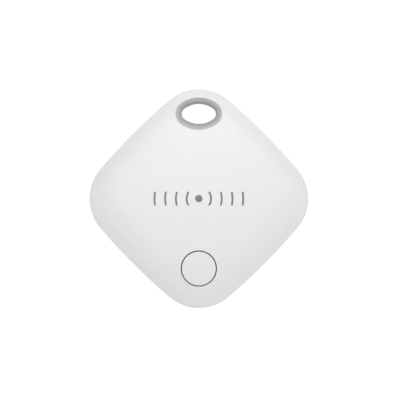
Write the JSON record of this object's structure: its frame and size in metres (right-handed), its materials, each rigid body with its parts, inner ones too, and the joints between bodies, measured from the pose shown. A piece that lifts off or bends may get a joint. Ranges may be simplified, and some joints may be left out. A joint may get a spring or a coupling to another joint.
{
  "type": "bluetooth tracker tag",
  "caption": "Rounded-square bluetooth tracker tag that hangs by a lanyard hole at a corner, with a push button, a buzzer and a coin cell behind a twist-open door.",
  "frame": {"origin": "centre of the back face, where the tag lies flat", "axes": "+Z out of the front face, +Y towards the lanyard hole, +X to the right of the front face"},
  "size_m": [0.045, 0.045, 0.008],
  "materials": {
    "shell_white": "fine satin, almost matte",
    "rim_grey": "satin",
    "ink": "flat print",
    "silicone": "matte",
    "board": "solder mask",
    "black_resin": "moulded",
    "steel": "plain",
    "brass": "plain",
    "gold_spring": "gold plated",
    "ceramic": "fired",
    "capacitor": "fired",
    "ferrite": "sintered",
    "black_plastic": "moulded",
    "natural_plastic": "moulded",
    "adhesive": "tacky",
    "electrode": "powder",
    "foam": "closed cell",
    "o_ring": "matte"
  },
  "bodies": {
    "housing": {"front_shell": "shell_white", "back_shell": "shell_white", "lanyard_eyelet": "rim_grey", "printed_symbol": "ink", "button_membrane": "silicone", "main_board": "board", "bluetooth_chip": "black_resin", "crystal": "steel", "chip_antenna": "ceramic", "boost_inductor": "ferrite", "buzzer_transistor": "black_resin", "smd_capacitors": "capacitor", "smd_resistors": "black_resin", "board_screws": "steel", "switch_base": "black_plastic", "switch_terminals": "steel", "switch_dome": "steel", "switch_cover": "steel", "buzzer_diaphragm": "brass", "buzzer_ceramic": "ceramic", "buzzer_adhesive": "adhesive", "buzzer_springs": "gold_spring", "battery_cradle": "black_plastic", "negative_contact": "steel", "positive_contact": "steel", "cell_can": "steel", "cell_gasket": "black_plastic", "cell_cap": "steel", "cell_electrodes": "electrode"},
    "button": {"button_cap": "shell_white"},
    "plunger": {"switch_plunger": "natural_plastic"},
    "door": {"battery_door": "shell_white", "door_o_ring": "o_ring", "cell_pad": "foam"}
  },
  "joints": [
    {"name": "button_press", "type": "slide", "parent": "housing", "child": "button", "axis": [0, 0, -1], "range_m": [0, 0.0002], "stiffness_N_per_m": 8000, "deforming": ["button_membrane", "switch_dome"]},
    {"name": "plunger_press", "type": "slide", "parent": "housing", "child": "plunger", "axis": [0, 0, -1], "range_m": [0, 0.0002]},
    {"name": "door_twist", "type": "hinge", "parent": "housing", "child": "door", "pos_m": [0, 0, 0], "axis": [0, 0, -1], "range_deg": [0, 30]}
  ],
  "couplings": [
    {"joint": "plunger_press", "follows": "button_press", "ratio": 1}
  ]
}
